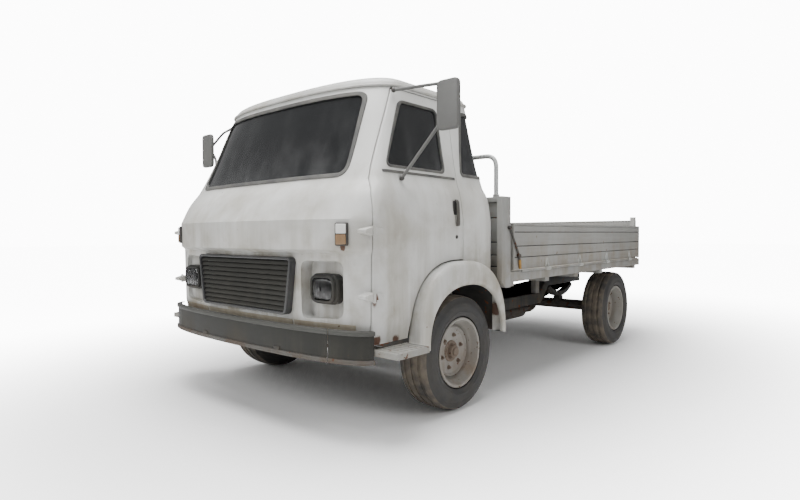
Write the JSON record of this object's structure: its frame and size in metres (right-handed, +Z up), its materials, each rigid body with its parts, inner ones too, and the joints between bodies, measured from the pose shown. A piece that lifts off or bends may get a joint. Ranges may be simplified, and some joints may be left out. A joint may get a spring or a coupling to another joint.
{
  "type": "dropside delivery truck",
  "caption": "Cab-over light truck with a dropside flatbed, opening doors, steered front wheels and folding sides.",
  "frame": {"origin": "on the ground under the middle of the truck", "axes": "the truck faces -Y, its left side is +X, +Z is up"},
  "size_m": [2.612, 4.31, 2.088],
  "materials": {
    "cab_paint": "weathered satin",
    "bed_boards": "painted, weathered",
    "bed_tube": "satin",
    "bumper_paint": "matte",
    "grille": "matte",
    "chassis_paint": "matte, dusty",
    "drive_iron": "dusty",
    "engine_alloy": "dull",
    "tank": "matte",
    "wheel_paint": "dusty",
    "tyre": "worn, dusty",
    "window_glass": "dark tint",
    "lamp": "clear",
    "trim": "matte",
    "seat": "woven",
    "steel": "worn"
  },
  "bodies": {
    "chassis": {"cab_floor": "cab_paint", "front_panel": "cab_paint", "roof": "cab_paint", "rear_wall": "cab_paint", "cab_side_left": "cab_paint", "cab_side_right": "cab_paint", "step_left": "cab_paint", "step_right": "cab_paint", "load_deck": "bed_boards", "headboard": "bed_boards", "headboard_hoop": "bed_tube", "front_bumper": "bumper_paint", "grille": "grille", "frame_rail_left": "chassis_paint", "frame_rail_right": "chassis_paint", "front_crossmember": "chassis_paint", "rear_crossmember": "chassis_paint", "front_axle_beam": "drive_iron", "rear_axle": "drive_iron", "front_spring_left": "drive_iron", "front_spring_right": "drive_iron", "rear_spring_left": "drive_iron", "rear_spring_right": "drive_iron", "engine": "engine_alloy", "exhaust": "engine_alloy", "fuel_tank": "tank", "windscreen": "window_glass", "rear_window": "window_glass", "quarter_window_left": "window_glass", "quarter_window_right": "window_glass", "headlamp_left": "lamp", "headlamp_right": "lamp", "dashboard": "trim", "seat_cushion": "seat", "seat_back": "seat"},
    "steering_left": {"steering_knuckle_left": "drive_iron"},
    "road_wheel_front_left": {"wheel_front_left": "wheel_paint", "tyre_front_left": "tyre"},
    "road_wheel_rear_left": {"wheel_rear_left": "wheel_paint", "tyre_rear_left": "tyre"},
    "steering_right": {"steering_knuckle_right": "drive_iron"},
    "road_wheel_front_right": {"wheel_front_right": "wheel_paint", "tyre_front_right": "tyre"},
    "road_wheel_rear_right": {"wheel_rear_right": "wheel_paint", "tyre_rear_right": "tyre"},
    "steering_wheel": {"steering_wheel": "trim"},
    "propshaft": {"propshaft": "engine_alloy"},
    "door_left": {"door_left": "cab_paint", "door_glass_left": "window_glass"},
    "door_handle_left": {"door_handle_left": "steel"},
    "mirror_left": {"mirror_left": "trim"},
    "dropside_left": {"dropside_left": "bed_boards"},
    "latch_left": {"latch_left": "steel"},
    "door_right": {"door_right": "cab_paint", "door_glass_right": "window_glass"},
    "door_handle_right": {"door_handle_right": "steel"},
    "mirror_right": {"mirror_right": "trim"},
    "dropside_right": {"dropside_right": "bed_boards"},
    "latch_right": {"latch_right": "steel"},
    "tailgate": {"tailgate": "bed_boards"}
  },
  "joints": [
    {"name": "steer_left", "type": "hinge", "parent": "chassis", "child": "steering_left", "pos_m": [0.76, -1.162, 0.369], "axis": [0, 0, 1], "range_deg": [-28, 28]},
    {"name": "roll_front_left", "type": "hinge", "parent": "steering_left", "child": "road_wheel_front_left", "pos_m": [0.904, -1.162, 0.369], "axis": [1, 0, 0], "continuous": true},
    {"name": "roll_rear_left", "type": "hinge", "parent": "chassis", "child": "road_wheel_rear_left", "pos_m": [0.904, 1.564, 0.369], "axis": [1, 0, 0], "continuous": true},
    {"name": "steer_right", "type": "hinge", "parent": "chassis", "child": "steering_right", "pos_m": [-0.76, -1.162, 0.369], "axis": [0, 0, 1], "range_deg": [-28, 28]},
    {"name": "roll_front_right", "type": "hinge", "parent": "steering_right", "child": "road_wheel_front_right", "pos_m": [-0.904, -1.162, 0.369], "axis": [1, 0, 0], "continuous": true},
    {"name": "roll_rear_right", "type": "hinge", "parent": "chassis", "child": "road_wheel_rear_right", "pos_m": [-0.904, 1.564, 0.369], "axis": [1, 0, 0], "continuous": true},
    {"name": "steering_wheel_turn", "type": "hinge", "parent": "chassis", "child": "steering_wheel", "pos_m": [0.42, -1.525, 1.362], "axis": [0, 0.4368, 0.8996], "range_deg": [-450, 450]},
    {"name": "propshaft_spin", "type": "hinge", "parent": "chassis", "child": "propshaft", "pos_m": [0, 0.341, 0.44], "axis": [0, 0.9984, -0.056], "continuous": true},
    {"name": "door_left_swing", "type": "hinge", "parent": "chassis", "child": "door_left", "pos_m": [1.015, -1.952, 0.95], "axis": [0, 0, -1], "range_deg": [0, 68]},
    {"name": "door_handle_left_pull", "type": "hinge", "parent": "door_left", "child": "door_handle_left", "pos_m": [0.992, -1.193, 1.334], "axis": [0, -1, 0], "range_deg": [0, 30], "stiffness_Nm_per_rad": 3, "springref_deg": -5.73},
    {"name": "mirror_left_fold", "type": "hinge", "parent": "door_left", "child": "mirror_left", "pos_m": [0.962, -1.67, 1.434], "axis": [-0.2207, 0.125, 0.9673], "range_deg": [-30, 55]},
    {"name": "dropside_left_drop", "type": "hinge", "parent": "chassis", "child": "dropside_left", "pos_m": [1.075, 0.8, 0.853], "axis": [0, 1, 0], "range_deg": [0, 165]},
    {"name": "latch_left_turn", "type": "hinge", "parent": "dropside_left", "child": "latch_left", "pos_m": [1.077, -0.536, 0.962], "axis": [-1, 0, 0], "range_deg": [0, 70]},
    {"name": "door_right_swing", "type": "hinge", "parent": "chassis", "child": "door_right", "pos_m": [-1.015, -1.952, 0.95], "axis": [0, 0, 1], "range_deg": [0, 68]},
    {"name": "door_handle_right_pull", "type": "hinge", "parent": "door_right", "child": "door_handle_right", "pos_m": [-0.992, -1.193, 1.334], "axis": [0, 1, 0], "range_deg": [0, 30], "stiffness_Nm_per_rad": 3, "springref_deg": -5.73},
    {"name": "mirror_right_fold", "type": "hinge", "parent": "door_right", "child": "mirror_right", "pos_m": [-0.962, -1.67, 1.434], "axis": [0.2207, 0.125, 0.9673], "range_deg": [-55, 30]},
    {"name": "dropside_right_drop", "type": "hinge", "parent": "chassis", "child": "dropside_right", "pos_m": [-1.075, 0.8, 0.853], "axis": [0, -1, 0], "range_deg": [0, 165]},
    {"name": "latch_right_turn", "type": "hinge", "parent": "dropside_right", "child": "latch_right", "pos_m": [-1.077, -0.536, 0.962], "axis": [-1, 0, 0], "range_deg": [0, 70]},
    {"name": "tailgate_drop", "type": "hinge", "parent": "chassis", "child": "tailgate", "pos_m": [0, 2.145, 0.853], "axis": [-1, 0, 0], "range_deg": [0, 175]}
  ],
  "couplings": [
    {"joint": "steer_right", "follows": "steer_left", "ratio": 1},
    {"joint": "steering_wheel_turn", "follows": "steer_left", "ratio": 16},
    {"joint": "propshaft_spin", "follows": "roll_rear_left", "ratio": 4.1}
  ]
}
